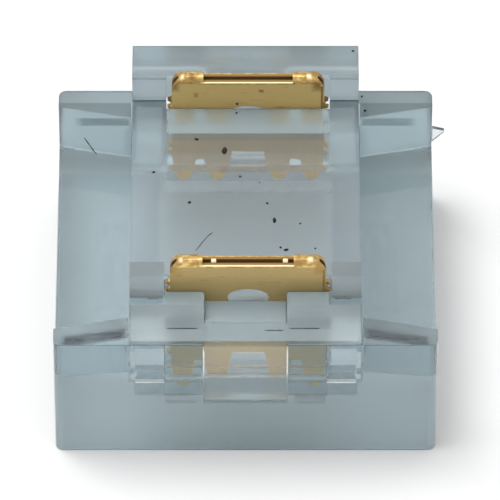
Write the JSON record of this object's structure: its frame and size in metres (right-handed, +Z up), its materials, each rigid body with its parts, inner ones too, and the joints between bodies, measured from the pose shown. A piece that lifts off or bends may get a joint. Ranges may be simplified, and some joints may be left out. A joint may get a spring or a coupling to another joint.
{
  "type": "led strip connector",
  "caption": "Clear press-down connector for flat led strip or its wire: channel base, latching cap with folded gold-plated contacts and insulation-piercing teeth.",
  "frame": {"origin": "centre of the base's underside", "axes": "X runs along the led strip from mouth to mouth, Y across it from the front wall to the rear wall, Z up towards the pressed cap"},
  "size_m": [0.0153, 0.0138, 0.0088],
  "materials": {
    "base_housing": "clear polycarbonate with a faint grey-blue cast",
    "cap": "clear polycarbonate with a faint grey-blue cast",
    "contact": "gold-plated phosphor bronze sheet, satin"
  },
  "bodies": {
    "base": {"base_housing": "base_housing"},
    "cap": {"cap": "cap", "contact_front": "contact", "contact_rear": "contact"}
  },
  "joints": [
    {"name": "cap_lift", "type": "slide", "parent": "base", "child": "cap", "axis": [0, 0, 1], "range_m": [0, 0.0024]}
  ]
}
